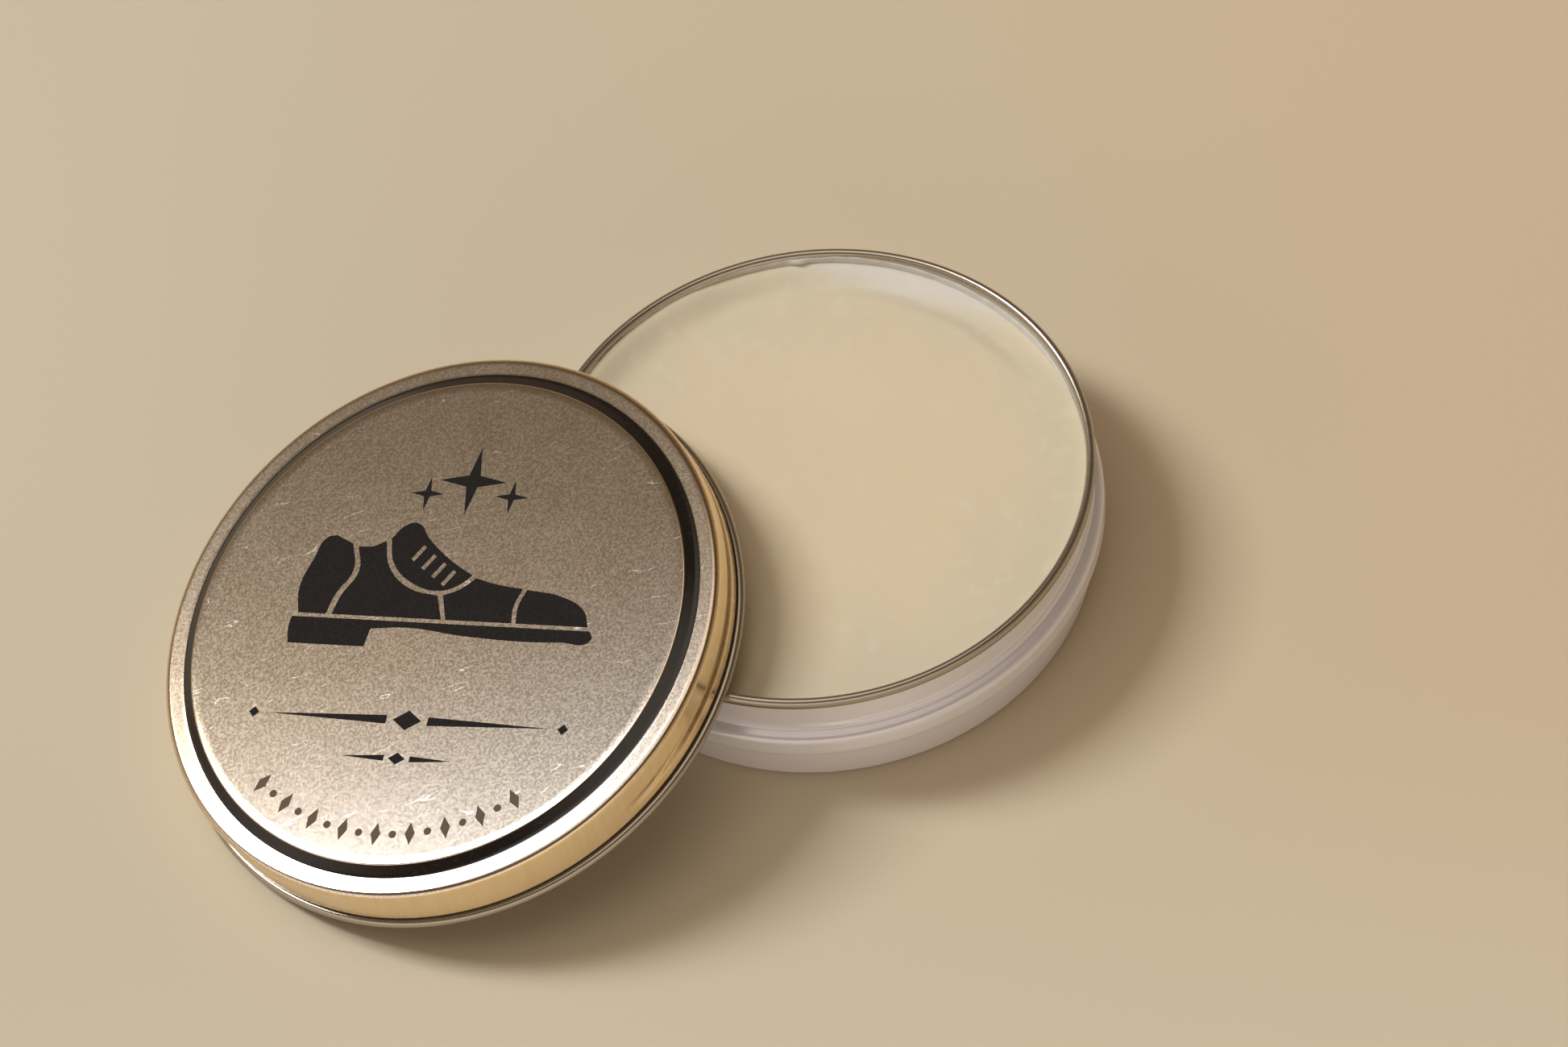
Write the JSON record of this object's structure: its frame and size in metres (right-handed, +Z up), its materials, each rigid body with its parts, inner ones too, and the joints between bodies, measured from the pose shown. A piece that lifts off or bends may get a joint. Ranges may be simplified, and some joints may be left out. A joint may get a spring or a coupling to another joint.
{
  "type": "shoe polish tin",
  "caption": "Round open tin of solid shoe polish, with its screw lid lifted off and leaning on the rim. The lid lifts clear and turns on its own axis.",
  "frame": {"origin": "centre of the can's foot ring, on the plane that the tin stands on", "axes": "+Z up along the can's axis; the leaning lid lies towards -X and a little towards -Y"},
  "size_m": [0.135, 0.095, 0.031],
  "materials": {
    "can_lacquer": "glossy off-white lacquer on drawn tinplate",
    "wax": "smooth satin cream wax",
    "lid_lacquer": "satin champagne-gold metallic lacquer on drawn tinplate",
    "liner": "matt off-white sealing card"
  },
  "bodies": {
    "can": {"can_body": "can_lacquer", "polish": "wax"},
    "liner": {"lid_liner": "liner"},
    "lid": {"lid_shell": "lid_lacquer"}
  },
  "joints": [
    {"name": "lid_lift", "type": "slide", "parent": "can", "child": "liner", "axis": [-0.2664, -0.064, 0.9617], "range_m": [0, 0.05]},
    {"name": "lid_spin", "type": "hinge", "parent": "liner", "child": "lid", "pos_m": [-0.0527, -0.01265, 0.0115], "axis": [-0.2664, -0.064, 0.9617], "continuous": true}
  ]
}
